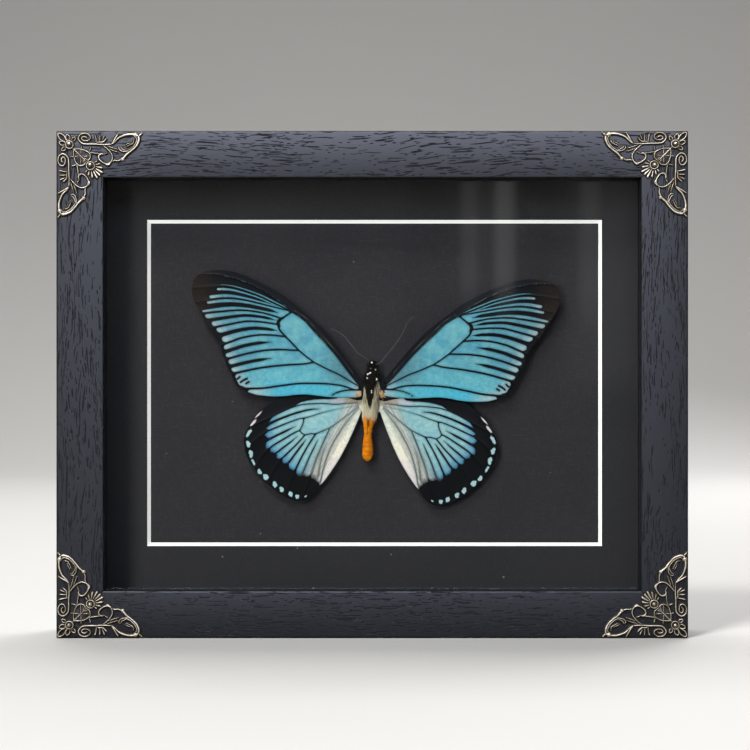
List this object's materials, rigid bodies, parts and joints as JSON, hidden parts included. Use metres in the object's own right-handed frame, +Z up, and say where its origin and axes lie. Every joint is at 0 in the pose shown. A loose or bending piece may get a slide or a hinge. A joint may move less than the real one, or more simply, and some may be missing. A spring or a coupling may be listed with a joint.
{
  "type": "framed butterfly specimen",
  "caption": "Black wooden shadow box with brass corner plates, glass and a bevelled black mat around a spread blue swallowtail butterfly; stands on its edge or hangs flat on a wall.",
  "frame": {"origin": "centre of the object's box at its lowest level, under the middle of the box and at the level of the surface it stands on", "axes": "+X to the viewer's right along the width, +Y to the back, +Z up; the glass faces -Y"},
  "size_m": [0.254, 0.0364, 0.204],
  "materials": {
    "black_wood": "open-grain wood stained blue-black, satin, with dark pores along the grain",
    "antique_brass": "stamped antique brass, dark in its recesses, rubbed bright on raised edges",
    "clear_glass": "clear float glass, polished",
    "spacer_card": "matte black foam board strips",
    "black_card": "matte black fibre board, white core showing at the bevel cut",
    "body_fur": "dried insect body, black and grey hair on the thorax, ochre abdomen",
    "wing_scales": "powdery turquoise scales with black veins and borders",
    "antenna_dark": "thin dark horn",
    "back_board": "brown hardboard, smooth side out",
    "tab_steel": "zinc-plated steel, slightly dull"
  },
  "bodies": {
    "root": {"rail_top": "black_wood", "rail_bottom": "black_wood", "rail_left": "black_wood", "rail_right": "black_wood", "ornament_top_left": "antique_brass", "ornament_top_right": "antique_brass", "ornament_bottom_left": "antique_brass", "ornament_bottom_right": "antique_brass", "ornament_brad_1": "antique_brass", "ornament_brad_2": "antique_brass", "ornament_brad_3": "antique_brass", "ornament_brad_4": "antique_brass", "ornament_brad_5": "antique_brass", "ornament_brad_6": "antique_brass", "ornament_brad_7": "antique_brass", "ornament_brad_8": "antique_brass", "glass": "clear_glass", "spacer_top": "spacer_card", "spacer_bottom": "spacer_card", "spacer_left": "spacer_card", "spacer_right": "spacer_card", "mat": "black_card", "specimen_board": "black_card", "body": "body_fur", "forewing_left": "wing_scales", "forewing_right": "wing_scales", "hindwing_left": "wing_scales", "hindwing_right": "wing_scales", "antenna_left": "antenna_dark", "antenna_right": "antenna_dark", "back_panel": "back_board", "tab_1": "tab_steel", "tab_2": "tab_steel", "tab_3": "tab_steel", "tab_4": "tab_steel", "tab_5": "tab_steel", "tab_6": "tab_steel", "tab_7": "tab_steel", "tab_8": "tab_steel", "hanger": "tab_steel", "hanger_brad_left": "tab_steel", "hanger_brad_right": "tab_steel"}
  },
  "joints": []
}
